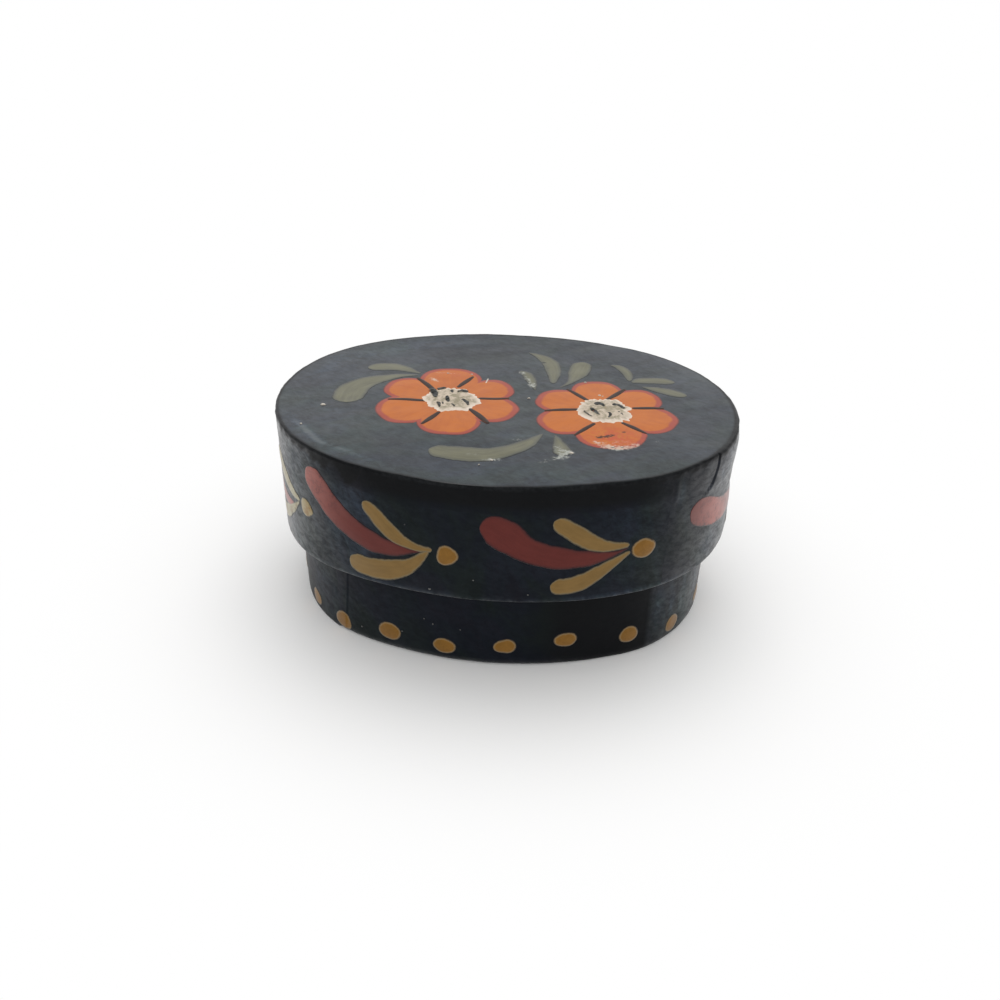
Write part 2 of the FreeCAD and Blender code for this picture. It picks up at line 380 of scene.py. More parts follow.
# A dab of paint inside an outline, given as its reach from the middle at even angles: as thick
# as the film, and higher in the middle by the dome
def paintPatch(middle, reach, onto, film, dome=0, rings=14, lumps=None, seed=0, **around):
    angle = np.linspace(0, 2 * math.pi, len(reach), endpoint=False)
    share = np.concatenate([1 - (1 - np.linspace(0, 1, rings)) ** 1.6, [1, 0.9, 0]])
    top = np.arange(len(share)) < rings
    body = np.where(top, film * (1 - share**8) + dome * (1 - share**2), -laid["sunk"])
    body[rings - 1:rings + 1] = (0, -laid["sunk"] * 0.5)
    u = middle[0] + share[:, None] * reach[None, :] * np.cos(angle)
    v = middle[1] + share[:, None] * reach[None, :] * np.sin(angle)
    lift = np.broadcast_to(body[:, None], u.shape)
    if lumps:
        lift = lift + np.where(top, 1 - share**4, 0)[:, None] * lumps(u, v)
    turn = np.linspace(0, 2 * math.pi, len(reach) + 1)
    outline = np.append(reach, reach[0])
    flat = np.stack(np.broadcast_arrays(turn * 10, share[:, None] * outline), axis=-1)
    edge = (1 - share[:, None]) * reach[None, :]
    return shell(onto(u, v, lift), flat + laid["apart"] * seed, "points", edge=edge, **around)


# Materials

# One output of a node. Arithmetic on it adds Math nodes beside it.
class Value:
    def __init__(self, finish, socket):
        self.finish = finish
        self.socket = socket

    def __add__(self, other):
        return self.finish.maths("ADD", self, other)

    def __sub__(self, other):
        return self.finish.maths("SUBTRACT", self, other)

    def __rsub__(self, other):
        return self.finish.maths("SUBTRACT", other, self)

    def __mul__(self, other):
        return self.finish.maths("MULTIPLY", self, other)

    __radd__ = __add__
    __rmul__ = __mul__


# A material or a world that is being built
class Finish:
    def __init__(self, owner):
        owner.use_nodes = True
        self.owner = owner
        self.tree = owner.node_tree
        self.tree.nodes.clear()

    # Adds a node: its settings first, then the values or links of its sockets
    def node(self, kind, settings={}, sockets={}, output=0):
        made = self.tree.nodes.new("ShaderNode" + kind)
        for name, value in settings.items():
            if name == "stops":
                self.setStops(made.color_ramp, value)
            else:
                setattr(made, name, value)
        for name, value in sockets.items():
            if isinstance(value, Value):
                self.tree.links.new(value.socket, made.inputs[name])
            else:
                made.inputs[name].default_value = value
        return Value(self, made.outputs[output]) if len(made.outputs) else made

    def setStops(self, ramp, stops):
        while len(ramp.elements) < len(stops):
            ramp.elements.new(1)
        for element, (place, colour) in zip(ramp.elements, stops):
            element.position = place
            element.color = (*colour, 1)

    # One step of arithmetic on numbers or outputs
    def maths(self, operation, *values):
        return self.node("Math", {"operation": operation}, dict(enumerate(values)))

    # Two colours blended: the low one at a share of 0, the high one at 1
    def mix(self, share, low, high):
        return self.node("Mix", {"data_type": "RGBA"}, {0: share, 6: colour(low), 7: colour(high)}, 2)

    # A place turned about the third axis, then scaled along each
    def stretched(self, place, scale, turn=0):
        sockets = {"Vector": place, "Scale": tuple(1 / part for part in scale), "Rotation": (0, 0, turn)}
        return self.node("Mapping", {"vector_type": "TEXTURE"}, sockets)

    # Noise over the place times the scale, so a larger scale is finer
    def noise(self, place, scale, detail, roughness, distortion=0, turn=0):
        place = self.stretched(place, scale if isinstance(scale, tuple) else (scale,) * 3, turn)
        sockets = {"Vector": place, "Scale": 1, "Detail": detail, "Roughness": roughness}
        return self.node("TexNoise", {}, {**sockets, "Distortion": distortion})

    # 0 below the low value, 1 above the high one, a smooth S between them
    def fade(self, value, low, high):
        sockets = {"Value": value, "From Min": low, "From Max": high}
        return self.node("MapRange", {"interpolation_type": "SMOOTHSTEP"}, sockets)

    # A value that the piece's mesh keeps at each point
    def attribute(self, name):
        return self.node("Attribute", {"attribute_name": name}, {}, "Fac")

    # The piece's flat coordinates
    def flat(self):
        return self.node("UVMap", {"uv_map": "flat"})

    # The place in the piece, in millimetres
    def solid(self):
        place = self.node("TexCoord", {}, {}, "Object")
        return self.stretched(place, (1 / mm, 1 / mm, 1 / mm))

    # A relief as deep as the depth in millimetres where the height is 1
    def bump(self, height, depth):
        return self.node("Bump", {}, {"Height": height, "Distance": depth * mm, "Strength": 1})

    # The shader and the material's output. Underscores in the names stand for spaces.
    def surface(self, **sockets):
        names = {name.replace("_", " "): value for name, value in sockets.items()}
        shader = self.node("BsdfPrincipled", {}, names)
        self.node("OutputMaterial", {}, {"Surface": shader})
        return self.owner


# A colour made opaque, or an output as it is
def colour(value):
    return value if isinstance(value, Value) else (*value, 1)


darkPaint = {
    "navy": (0.003, 0.0046, 0.0082),
    "black": (0.0032, 0.0035, 0.0042),
    "green": (0.004, 0.0068, 0.007),
    "violet": (0.005, 0.005, 0.009),
    "haze": (0.03, 0.047, 0.074),
    "greenHaze": (0.03, 0.054, 0.06),
    "paleHazeAndSheen": (0.105, 0.118, 0.124),
    "worn": (0.085, 0.092, 0.098),
    "rubbed": (0.4, 0.41, 0.37),
    "roughness": 0.36,
    "shine": 0.065,
}
slant = {"weight": 0.64, "least": 0.05, "from": 0.2, "to": 0.62}
gloss = {"Specular_IOR_Level": darkPaint["shine"], "Coat_Roughness": 0.3}
rubbing = {"coarse": 2.6, "fine": 3.4, "from": 0.24, "to": 0.95, "most": 0.88}
bareWood = {
    "pale": (0.56, 0.4, 0.235),
    "brown": (0.36, 0.225, 0.115),
    "roughness": 0.62,
}


# The sheen of old oil paint: faint head on, strong at a slant, patchy where it is worn, and less
# where the piece's own value "dull" is high
def slantSheen(finish, patchy, share=1, swing=0.6):
    facing = finish.node("LayerWeight", {}, {"Blend": 0.5}, "Facing")
    ramp = finish.fade(facing, slant["from"], slant["to"])
    worn = (1 - swing / 2 + swing * patchy) * (1 - finish.attribute("dull")) * share
    return (ramp * slant["weight"] + slant["least"]) * worn


# Bare wood, its grain along the first coordinate
def grain(finish, place):
    fibres = finish.noise(place, (0.03, 1.6, 1.6), 5, 0.62, 0.3)
    rings = finish.noise(place, (0.012, 0.22, 0.22), 2, 0.5, 0.8)
    shade = finish.fade(fibres * 0.6 + rings * 0.5, 0.38, 0.74)
    return finish.mix(shade, bareWood["pale"], bareWood["brown"]), fibres


# The share of a piece's own value "rub" that shows, broken up as rubbing breaks it
def rubShare(finish, way=1):
    place = finish.solid()
    coarse = finish.noise(place, 0.9, 3, 0.6)
    fine = finish.noise(place, 2.6, 2, 0.6)
    broken = 1 + (coarse - 0.5) * rubbing["coarse"] + (fine - 0.5) * rubbing["fine"]
    rub = finish.attribute("rub") * way * broken
    return finish.fade(rub, rubbing["from"], rubbing["to"]) * rubbing["most"]


# Dark oil paint over wood, with bare wood where the piece's own value "painted" is low. Its value
# "tone" is above zero where the paint is hazier, and there it also carries painted sheen and a painted
# highlight; it is below zero where the paint is blackest, with painted shade among those places.
def paintedWood(name, place, haze, brushTurn):
    finish = Finish(bpy.data.materials.new(name))
    place = finish.flat() if place == "flat" else finish.solid()
    clouds = finish.noise(place, 0.11, 4, 0.6, 0.5)
    tints = finish.noise(place, (0.06, 0.1, 0.1), 4, 0.65, 0.6, turn=brushTurn)
    brush = finish.noise(place, (0.16, 0.7, 0.5), 5, 0.66, 0.7, turn=brushTurn)
    mottle = finish.noise(place, (0.6, 1.05, 1.05), 5, 0.72, 0.4, turn=brushTurn - 1)
    specks = finish.noise(place, 1.6, 2, 0.5)
    tone = finish.attribute("tone")
    stops = [(0.34, darkPaint["violet"]), (0.48, darkPaint["navy"]), (0.64, darkPaint["green"])]
    ground = finish.node("ValToRGB", {"stops": stops}, {"Fac": tints})
    # Black where the tone is below zero, which includes painted shade under the lid's rim and round the top
    ground = finish.mix(finish.fade(tone * -1, 0, 1), ground, darkPaint["black"])
    # Hazier where the tone is above zero: the paint's own haze, with painted sheen and a painted highlight
    # in some patches
    broken = brush * 0.8 + clouds * 0.7 + mottle * 0.9 - 1.2
    misty = haze["share"] + broken * haze["swing"] + tone * 0.6 + tone * (brush + mottle - 1) * 2.2
    misty = finish.maths("MINIMUM", finish.maths("MAXIMUM", misty, 0), 1)
    mist = finish.mix(finish.fade(tints, 0.4, 0.62), darkPaint["haze"], darkPaint["greenHaze"])
    ground = finish.mix(misty, ground, mist)
    # Palest where the tone is highest: light marks on the top, and painted sheen at the lid's right end
    hazeAndSheenShare = finish.fade(tone + (brush - 0.5) * 1.2, 0.5, 1.3) * 0.6
    ground = finish.mix(hazeAndSheenShare, ground, darkPaint["paleHazeAndSheen"])
    wear = finish.attribute("wear") * finish.fade(clouds * 0.6 + specks * 0.4, 0.4, 0.66)
    ground = finish.mix(wear, ground, darkPaint["worn"])
    ground = finish.mix(rubShare(finish), ground, darkPaint["rubbed"])
    wood, fibres = grain(finish, place)
    ragged = finish.attribute("painted") + (specks + brush - 1) * 0.35
    painted = finish.fade(ragged, 0.44, 0.56)
    rough = darkPaint["roughness"] + brush * 0.16
    height = painted * (brush * 0.6 + specks * 0.4) + (1 - painted) * (fibres - 1.2)
    patchy = finish.fade(clouds * 0.3 + mottle * 0.7, 0.36, 0.64)
    return finish.surface(
        Base_Color=finish.mix(painted, wood, ground),
        Roughness=painted * rough + (1 - painted) * bareWood["roughness"],
        **gloss,
        Coat_Weight=slantSheen(finish, patchy, 1, haze["sheenSwing"]) * painted,
        Normal=finish.bump(height, 0.05),
    )


# The pegs' bare wood, with its fibres in low relief
def pegWood():
    finish = Finish(bpy.data.materials.new("pegWood"))
    wood, fibres = grain(finish, finish.solid())
    relief = finish.bump(fibres, 0.02)
    return finish.surface(Base_Color=wood, Roughness=bareWood["roughness"], Normal=relief)


# Paint of one colour, brushed along the stroke. Towards its edge it turns to the rim's colour,
# and at the very edge it is so thin that the dark ground shows through.
def strokePaint(name, body, rim, rimWidth, patchy=0.5, sheen=1, rubbed=None, pale=None, thinEdge=0.34):
    finish = Finish(bpy.data.materials.new(name))
    bristles = finish.noise(finish.flat(), (0.2, 1.5, 1), 3, 0.6)
    pools = finish.noise(finish.solid(), 0.45, 3, 0.6)
    fine = finish.noise(finish.solid(), 2.2, 2, 0.6)
    edge = finish.attribute("edge") + (pools - 0.5) * 0.4 + (fine - 0.5) * 0.25
    atRim = 1 - finish.fade(edge, min(0.12, rimWidth * 0.4), rimWidth)
    thin = 1 - finish.fade(edge, -0.02, min(thinEdge, rimWidth * 0.6))
    dull = tuple(part * 0.66 for part in body)
    paint = finish.mix(finish.fade(bristles * 0.5 + pools * 0.5, 0.35, 0.68) * patchy, body, dull)
    paint = finish.mix(atRim, paint, rim)
    # Towards the pale colour where the piece's own value "pale" is high: painted glare on strokes seen at a
    # slant
    if pale:
        glareShare = finish.attribute("pale") * finish.fade(pools * 0.6 + fine * 0.4, 0.3, 0.55)
        paint = finish.mix(glareShare, paint, pale)
    if thinEdge:
        paint = finish.mix(thin * 0.9, paint, darkPaint["violet"])
    if rubbed:
        paint = finish.mix(rubShare(finish), paint, rubbed)
        paint = finish.mix(rubShare(finish, -1), paint, darkPaint["black"])
    return finish.surface(
        Base_Color=paint,
        Roughness=0.38 + bristles * 0.2,
        **gloss,
        Coat_Weight=slantSheen(finish, pools, sheen),
        Normal=finish.bump(bristles * 0.6 + fine * 0.4, 0.04),
    )


petalPaint = {
    "orange": (0.52, 0.145, 0.02),
    "deep": (0.46, 0.118, 0.018),
    "red": (0.335, 0.06, 0.044),
    "scarlet": (0.5, 0.08, 0.026),
    "edge": (0.085, 0.03, 0.03),
    "flake": (0.6, 0.46, 0.37),
    "rimWidth": 1.1,
    "edgeWidth": 0.42,
    "sheen": 0.6,
}


# The petals: orange that turns to red over the rim's width, and to a dark line at the edge
def flowerPaint():
    finish = Finish(bpy.data.materials.new("flowerPaint"))
    place = finish.solid()
    pools = finish.noise(place, 0.33, 3, 0.6)
    fine = finish.noise(place, 1.8, 2, 0.5)
    brushed = finish.noise(finish.flat(), (0.9, 0.2, 1), 3, 0.6)
    edge = finish.attribute("edge")
    width = finish.attribute("rimWidth") * petalPaint["rimWidth"] + (pools - 0.5) * 0.9
    inRim = 1 - finish.fade(edge - width + (fine - 0.5) * 0.2, -0.25, 0.3)
    atEdge = 1 - finish.fade(edge + (fine - 0.5) * 0.15, 0, petalPaint["edgeWidth"])
    deeper = finish.fade(brushed * 0.4 + pools * 0.6, 0.38, 0.66)
    fill = finish.mix(deeper, petalPaint["orange"], petalPaint["deep"])
    paint = finish.mix(inRim * 0.92, fill, petalPaint["red"])
    paint = finish.mix(atEdge, paint, petalPaint["edge"])
    broken = finish.attribute("worn") * finish.fade(fine * 0.7 + pools * 0.3, 0.4, 0.58)
    paint = finish.mix(broken, paint, petalPaint["scarlet"])
    paint = finish.mix(rubShare(finish), paint, petalPaint["flake"])
    paint = finish.mix(rubShare(finish, -1), paint, darkPaint["green"])
    return finish.surface(
        Base_Color=paint,
        Roughness=0.4 + pools * 0.15,
        **gloss,
        Coat_Weight=slantSheen(finish, pools, petalPaint["sheen"]),
        Normal=finish.bump(brushed * 0.6 + fine * 0.4, 0.04),
    )


# Thick paint, whitest at its broken edge
def creamPaint(white, pale, dark):
    finish = Finish(bpy.data.materials.new("creamPaint"))
    place = finish.solid()
    lumps = finish.noise(place, 0.75, 3, 0.6, 0.6)
    fine = finish.noise(place, 3, 3, 0.6)
    shade = finish.fade(lumps * 0.75 + fine * 0.25, 0.4, 0.6)
    inner = finish.fade(finish.attribute("edge") + (lumps - 0.5) * 2, 0.35, 1.3)
    return finish.surface(
        Base_Color=finish.mix(inner, white, finish.mix(shade, dark, pale)),
        Roughness=0.55 + fine * 0.2,
        Specular_IOR_Level=darkPaint["shine"],
        Normal=finish.bump(lumps * 0.6 + fine * 0.4, 0.14),
    )


# The top's paint is far hazier than the wall's: a blue-grey bloom on the paint, and a painted bluish
# reflection of the light above
topHazeAndReflection = {"share": 0.32, "swing": 0.85, "sheenSwing": 0.28}
wallHaze = {"share": 0.03, "swing": 0.17, "sheenSwing": 0.95}
wallPaint = paintedWood("wallPaint", "flat", wallHaze, 1.2)
boardPaint = paintedWood("boardPaint", "solid", topHazeAndReflection, 0.55)
pegMaterial = pegWood()
print("materials ready")


# The strips

# How far the lid's wall hangs below its drawn heights, nothing at the rim
def hanging(run, z):
    low = 1 - smooth(z, skirtHeight, skirtHeight + skirtDroop["height"])
    return np.interp(centred(run), skirtDroop["runs"], skirtDroop["drop"]) * low


# A band carried round the oval: the profile is a closed line of insets and heights, and its share
# says how far each point follows the unevenness of the outside
def bandShell(profile, runs, swell, lifted, lookAt):
    inset, height, outside, onTop, painted, wear = (np.array(column)[:, None] for column in zip(*profile))
    x, y = ovalPoint(runs, inset - outside * swell(runs, height))
    z = height + (onTop * topLift(x, y) - hanging(runs, height) if lifted else 0 * x)
    along = np.append(0, np.cumsum(np.hypot(np.diff(inset[:, 0]), np.diff(height[:, 0]))))
    around = np.append(runs, runs[0] + perimeter)
    back = math.hypot(inset[-1, 0] - inset[0, 0], height[-1, 0] - height[0, 0])
    rows = np.append(along, along[-1] + back)
    flat = np.stack(np.broadcast_arrays(around, rows[:, None]), axis=-1)
    tone, dull = lookAt(centred(runs), height, x, y)
    values = {"painted": painted + 0 * x, "wear": wear + 0 * x, "tone": tone, "dull": dull}
    return shell(np.stack([x, y, z], axis=-1), flat, "rows", **values)


# Even steps round the outline, and fine ones over a stretch of it
def wallRuns(fineFrom, fineTo, step=0.5, fineStep=0.11):
    fine = np.arange(fineFrom, fineTo, fineStep)
    count = int((perimeter - fineTo + fineFrom) / step)
    return np.concatenate([fine, np.linspace(fineTo, fineFrom + perimeter, count, endpoint=False)])


# Where the paint is hazier or blacker than elsewhere: patches by run and height on the walls, and
# by place on the top. The hazy patches at the lid's right end are painted sheen, and the light band
# just inside the back-left of the top's rim is a painted highlight.
lidTones = [
    (-27, 32.9, 6, 1, -6, 0.55), (-33.5, 31, 3, 1.5, -30, 0.35), (-36.5, 26, 3, 9, -10, 0.2),
    (-33, 21, 1, 5, 25, 0.3), (-39, 18.5, 2, 4, 0, 0.4), (-35, 17, 1.2, 2.2, 40, 0.35),
    (29.7, 31.3, 0.9, 2.4, 0, 0.6), (31.5, 26, 0.7, 4, 5, 0.22), (38, 17.5, 3, 3, 20, 0.45),
    (40, 20.5, 3.5, 6, 0, 0.3), (42.5, 31.5, 3, 2.8, 0, 0.8), (37, 25, 1, 7, 10, 0.25),
    (45, 19.5, 2.4, 4.5, 0, 0.75), (39.8, 31, 0.5, 2.5, 0, 0.35), (26.5, 20, 0.6, 4, 8, 0.2),
    (-20, 15.2, 16, 0.35, 0, 0.45), (24, 15.2, 12, 0.45, 0, 0.6), (8, 21, 14, 3, 0, 0.05),
    (-22.5, 25, 5.5, 9, 0, 0.6), (21.5, 25, 5.5, 9, 0, 0.22), (-37.5, 31, 2, 3, 0, 0.45),
    (-34, 24, 4, 9, 0, 0.42),
]
baseTones = [
    (-32, 6, 5, 6, 0, 0.3), (-20, 7, 6, 4, 0, 0.06), (-33, 8.5, 3, 1.2, 30, 0.3),
    (30.5, 8, 1.2, 4, 4, 0.55), (34, 6, 0.8, 6, 6, 0.55), (40, 6, 4, 6, 0, 0.55),
    (37, 6, 0.7, 7, -4, 0.45), (32.2, 5, 0.4, 6, 4, 0.35), (42.5, 7, 0.6, 6, 4, 0.45),
]
topTones = [
    (-24, 17, 9, 2, 32, 0.55), (-31.5, 9.5, 6, 1.6, 62, 0.5), (-11, 23.2, 9, 1.6, 14, 0.35),
    (-29.3, -15.5, 6.5, 0.7, -50, 1.3), (-22.5, -20.5, 5, 0.6, -28, 0.95), (-30, -6, 6, 1, -40, 0.35),
    (-24, -9, 6, 0.9, -35, 0.3), (-24, -14, 5, 0.8, -35, 0.25), (3.5, -12.6, 4.5, 0.7, 12, 0.4),
    (-4, 17, 9, 3, 0, -0.25), (26, -6, 7, 5, 0, -0.15), (8, -24, 12, 2, 0, 0.15),
    (14, 22, 12, 3, -10, -0.15), (1, 15, 5, 4, 0, 0.12), (-18, -17, 5, 2, -30, -0.2),
]
# The front of the lid is painted blackest and dullest under its rim, and so is the rim's outer edge:
# painted shade under the rim
shadeUnderRim = {
    "from": 30.4, "to": 32.6, "sides": (20, 34), "black": 0.9, "dull": 0.55, "rimDull": 0.75,
    # the painted black band of shade right under the rim: its least width, and how much wider it is at one
    # place
    "least": 0.85, "more": 1.1, "widest": -23, "half": 9, "ragged": 0.3,
}
topDulls = [(-14, 33, 34, 17, -6, 0.42)]
# A painted dark line of shade round the top's rounded edge
topEdgeShade = {"from": 0.35, "to": 0.85, "black": 0.7, "dull": 0.45}    # the dark line round the top
# The base is blackest at the front right, up to where the lid hides it
baseDark = {
    "from": 6, "to": 14, "end": 28.2, "black": 0.8, "dullHere": 0.85, "fadeFrom": 14, "fadeTo": 21,
}
baseDulls = {"runs": (-38, -28, -20, 24, 30, 40), "dull": (0.7, 0.64, 0.54, 0.5, 0.44, 0.32)}


# The tone and dullness of the lid's strip, and of the base's. On the lid the black under the front of the
# rim is painted shade.
def lidLook(run, z, x, y):
    front = 1 - smooth(np.abs(run), *shadeUnderRim["sides"])
    high = smooth(z, shadeUnderRim["from"], shadeUnderRim["to"]) * front
    onTop = smooth(z, topHeight - 0.14, topHeight - 0.05)
    band = shadeUnderRim["least"] + shadeUnderRim["more"] * bell(run, shadeUnderRim["widest"], shadeUnderRim["half"])
    band = topHeight - band * (1 + shadeUnderRim["ragged"] * waves(x, y, 0, 33, 1.2, 7))
    onRim = smooth(z, band - 0.25, band + 0.25)
    # Painted shade: black under the front of the rim and on the rim's outer edge
    wall = patches(lidTones, run, z) * (1 - onRim) - shadeUnderRim["black"] * np.maximum(high, onRim)
    xOut, yOut = ovalPoint(run, 0)
    # The painted dark line of shade round the top's edge
    line = 1 - smooth(np.hypot(x - xOut, y - yOut), topEdgeShade["from"], topEdgeShade["to"])
    tone = wall * (1 - onTop) + onTop * (patches(topTones, x, y) - topEdgeShade["black"] * line)
    dull = np.maximum(shadeUnderRim["dull"] * high, shadeUnderRim["rimDull"] * onRim) * (1 - onTop)
    return tone, dull + onTop * (patches(topDulls, x, y) + topEdgeShade["dull"] * line)


def baseLook(run, z, x, y):
    end = baseDark["end"]
    here = smooth(run, baseDark["from"], baseDark["to"]) * (1 - smooth(run, end - 0.3, end + 0.3))
    here = here * (1 - smooth(z, baseDark["fadeFrom"], baseDark["fadeTo"]))
    tone = patches(baseTones, run, z) * (1 - here) - baseDark["black"] * here
    dull = np.interp(run, baseDulls["runs"], baseDulls["dull"])
    return tone, dull + (baseDark["dullHere"] - dull) * here + 0 * x


# Fine runs are where the lap's edge stands. The top rows are those that lie on the strip's upper edge.
lidStrip = {
    "rimRound": 0.4, "ease": 0.3, "corner": 0.005, "wallSteps": 46, "topRows": 10, "fine": (27.8, 40.5),
}


# The section of each strip: insets and heights from the top round the outside to the inside, with
# the shares that follow the wall's and the top's unevenness, the paint and the wear
def lidProfile():
    rim = lidStrip["rimRound"]
    ease = lidStrip["ease"]
    corner = lidStrip["corner"]
    rows = [(lidInnerInset, topHeight - corner, 0, 1, 1, 0)]
    onTop = [lidInnerInset, lidInnerInset - corner, *np.linspace(lidInnerInset - 0.2, rim, 5)]
    rows += [(inset, topHeight, 0, 1, 1, 0) for inset in onTop]
    for turn in np.radians(np.linspace(11.25, 90, 8)):
        follow = math.sin(turn)
        z = topHeight - rim * (1 - math.cos(turn))
        rows.append((rim * (1 - math.sin(turn)), z, follow, 1 - 0.5 * follow, 1, 0.1))
    for z in np.linspace(topHeight - rim, skirtHeight + ease, lidStrip["wallSteps"])[1:]:
        low = math.exp(-(z - skirtHeight - ease) / 0.3)
        high = math.exp(-(topHeight - rim - z) / 0.5)
        rows.append((0, z, 1, 0.5 * high, 1, 0.35 * low))
    for turn in np.radians([30, 60, 90]):
        inset = ease * (1 - math.cos(turn))
        rows.append((inset, skirtHeight + ease * (1 - math.sin(turn)), 1, 0, 1, 0.45))
    for inset, painted in ((0.7, 0.8), (1.1, 0.45), (lidInnerInset - 0.2, 0.2)):
        rows.append((inset, skirtHeight, 0.3, 0, painted, 0.3))
    for turn in np.radians([45, 90]):
        inset = lidInnerInset - 0.2 * (1 - math.sin(turn))
        rows.append((inset, skirtHeight + 0.2 * (1 - math.cos(turn)), 0, 0, 0, 0))
    rows += [(lidInnerInset, z, 0, 0, 0, 0) for z in np.linspace(skirtHeight + 0.5, topHeight - 1, 16)]
    return rows


lidRuns = wallRuns(*lidStrip["fine"])
lidShell = bandShell(lidProfile(), lidRuns, lidSwell, True, lidLook)
lidWall = addPiece("lid_wall", "lid", wallPaint, [lidShell], ["lid_band"])
# The paint on the strip's upper edge is the board's
lidWall.data.materials.append(boardPaint)
onBoard = np.arange(len(lidWall.data.polygons)) < lidStrip["topRows"] * len(lidRuns)
lidWall.data.polygons.foreach_set("material_index", onBoard.astype(np.int32))

baseStrip = {"ease": 0.3, "wallSteps": 56}


def baseProfile():
    ease = baseStrip["ease"]
    rows = [(baseInnerInset - 0.5, rimHeight, 0, 0, 0.3, 0)]
    rows.append((baseOuterInset + ease, rimHeight, 0.5, 0, 0.8, 0.4))
    for turn in np.radians([30, 60, 90]):
        inset = baseOuterInset + ease * (1 - math.sin(turn))
        rows.append((inset, rimHeight - ease * (1 - math.cos(turn)), 1, 0, 1, 0.7))
    for z in np.linspace(rimHeight - ease, ease, baseStrip["wallSteps"])[1:]:
        rows.append((baseOuterInset, z, 1, 0, 1, 0.6 * math.exp(-z / 0.5)))
    for turn in np.radians([45, 90]):
        inset = baseOuterInset + ease * (1 - math.cos(turn))
        rows.append((inset, ease * (1 - math.sin(turn)), 1, 0, 1, 0.6))
    rows += [(inset, 0, 0, 0, 1, 0.2) for inset in np.linspace(baseOuterInset + 0.6, baseInnerInset, 4)]
    rows += [(baseInnerInset, z, 0, 0, 0, 0) for z in np.linspace(0.4, rimHeight - 0.5, 24)]
    rows.append((baseInnerInset, rimHeight - 0.2, 0, 0, 0.1, 0))
    rows.append((baseInnerInset - 0.2, rimHeight, 0, 0, 0.2, 0))
    return rows


baseRuns = wallRuns(baseLap["run"] - 3, baseLap["run"] + 2)
baseShell = bandShell(baseProfile(), baseRuns, baseSwell, False, baseLook)
addPiece("box_wall", "base", wallPaint, [baseShell], ["base_band"])


# The boards

# An oval board: rings that shrink towards the middle on its upper and lower side, and its edge
def boardShell(inset, low, high, lift, paintedAbove, paintedBelow, rings=60, columns=300):
    runs = np.linspace(0, perimeter, columns, endpoint=False)
    x, y = ovalPoint(runs, inset)
    share = np.append(1 - (1 - np.linspace(0, 1, rings)[:-1]) ** 1.15, [0.9995, 0.9999, 1])
    rows = [(part, high, paintedAbove, 1) for part in share]
    rows += [(1, z, paintedAbove, 0) for z in np.linspace(high, low, 5)[1:-1]]
    rows += [(part, low, paintedBelow, 0) for part in share[::-1]]
    part, height, painted, above = (np.array(column)[:, None] for column in zip(*rows))
    x, y = part * x, part * y
    z = height + above * lift(x, y)
    flat = np.stack([np.append(x, x[:, :1], axis=1), np.append(y, y[:, :1], axis=1)], axis=-1)
    return shell(np.stack([x, y, z], axis=-1), flat, "points", painted=painted + 0 * x, wear=0 * x)


# What has been rubbed or chipped on the top: whitish above zero, dark below. The long thin whitish streak
# along the back edge of the left flower's back petal is a painted highlight.
topRubs = [
    (9.8, -16.9, 1.2, 1.1, 0, 0.6), (11, -17, 0.9, 0.6, 0, 0.95), (9.3, -15, 0.8, 1.3, 0, 0.38),
    (8.9, -19.2, 1.8, 0.7, 20, 0.4), (7.3, -20.6, 1.3, 0.6, 20, 0.34), (10.4, -18.5, 1.1, 0.7, 0, 0.42),
    (3.2, 8.4, 3.2, 0.8, -65, 0.5), (4.1, 6.2, 0.8, 0.9, 0, 0.6), (1.9, 11, 0.6, 0.5, 0, 0.7),
    (6.3, 14.2, 0.9, 1.8, 20, 0.4), (5.6, 15.9, 0.55, 0.35, 0, -1.1), (6.5, 13.5, 0.4, 0.6, 0, -1.1),
    (6, 14.8, 0.35, 0.35, 0, -1), (-0.1, -20.6, 1.8, 0.5, 5, 0.65), (-3.2, -19.4, 1.4, 0.6, 0, 0.42),
    (-12.9, 6.1, 1.2, 0.6, -35, 0.8), (-11.1, 9.1, 3.2, 0.35, 0, 0.5), (2.9, -14, 1, 0.6, 0, 0.42),
    (24.6, -12.2, 1, 0.8, 0, 0.34), (15, -13.1, 1, 0.6, -30, 0.5), (16.3, -14.3, 1.4, 0.7, -20, 0.62),
    (18.1, -14.9, 1.6, 0.7, 0, 0.8), (19.8, -14.5, 1.3, 0.7, 20, 0.66), (21.2, -13.5, 0.9, 0.6, 40, 0.45),
    (18.4, -13, 2.6, 0.9, 10, 0.4), (16, -11.6, 1.3, 0.5, 10, -0.95), (17.2, -11.1, 0.9, 0.45, 30, -0.9),
    (19.3, -9.5, 0.6, 0.4, 0, -0.8), (12.6, 15, 1.4, 2.2, 0, 0.2), (-22, 2.6, 2.5, 1, 30, 0.15),
]

# Petals whose orange has worn through to red in specks
wornPetals = [(17.8, -11.6, 4.2, 3, 0, 0.95), (-8.5, 9, 4, 2, 0, 0.35), (-17.5, 3.5, 3, 2, 0, 0.15)]

# The lid's board is flush with its strip, and paint hides the seam
topMarks = {"tone": topTones, "rub": topRubs, "dull": topDulls}
topShell = boardShell(lidInnerInset, lidBoardLow.z, topHeight, topLift, 1, 0)
addPiece("lid_top", "lid", boardPaint, [topShell], ["lid_board"], topMarks)
floorShell = boardShell(baseBoardInset, 0, baseBoardHigh.z, lambda x, y: 0 * x, 0, 1)
addPiece("box_floor", "base", boardPaint, [floorShell], ["base_board"])
for node in ("base_pegs", "lid_pegs"):
    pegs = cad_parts[node]
    pegs.data.materials.clear()
    pegs.data.materials.append(pegMaterial)
print("box and lid ready")


# The painting on the lid's top

